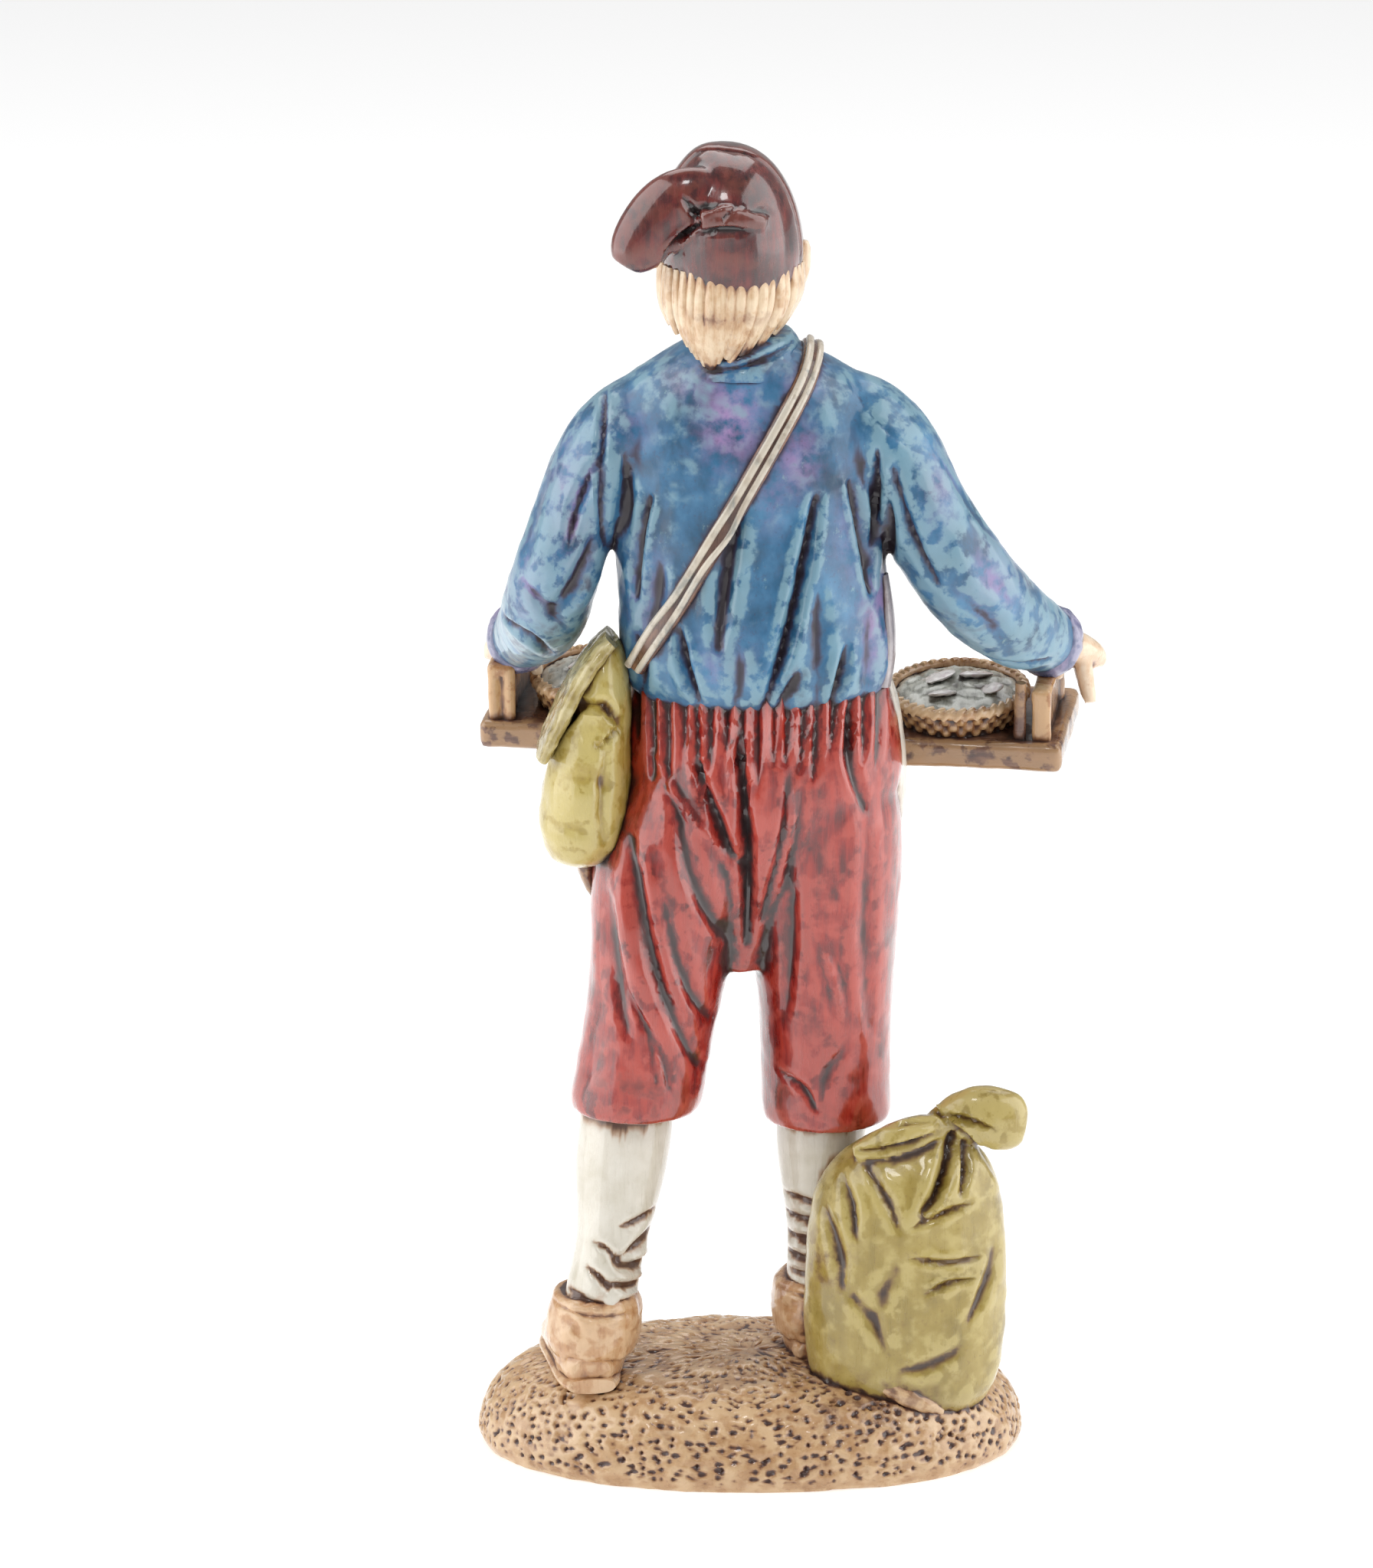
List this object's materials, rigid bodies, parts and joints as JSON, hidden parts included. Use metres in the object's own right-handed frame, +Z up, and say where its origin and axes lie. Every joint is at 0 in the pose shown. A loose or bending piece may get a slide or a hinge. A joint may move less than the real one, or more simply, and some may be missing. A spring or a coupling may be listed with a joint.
{
  "type": "crib figurine",
  "caption": "Moulded pedlar figurine in a stocking cap, shirt, apron and knee breeches, holding out a tray of baskets, on an oval patch of ground with a tied sack.",
  "frame": {"origin": "centre of the flat underside of the ground", "axes": "+Z up from the underside to the crown of the cap; the figure faces -Y and its left hand is at +X"},
  "size_m": [0.0592, 0.0438, 0.125],
  "materials": {
    "painted_pvc": "hand-painted moulded PVC with a dark-brown wash and a glossy lacquer; the painted colours are in the visual"
  },
  "bodies": {
    "root": {"nativity_figure": "painted_pvc"}
  },
  "joints": []
}
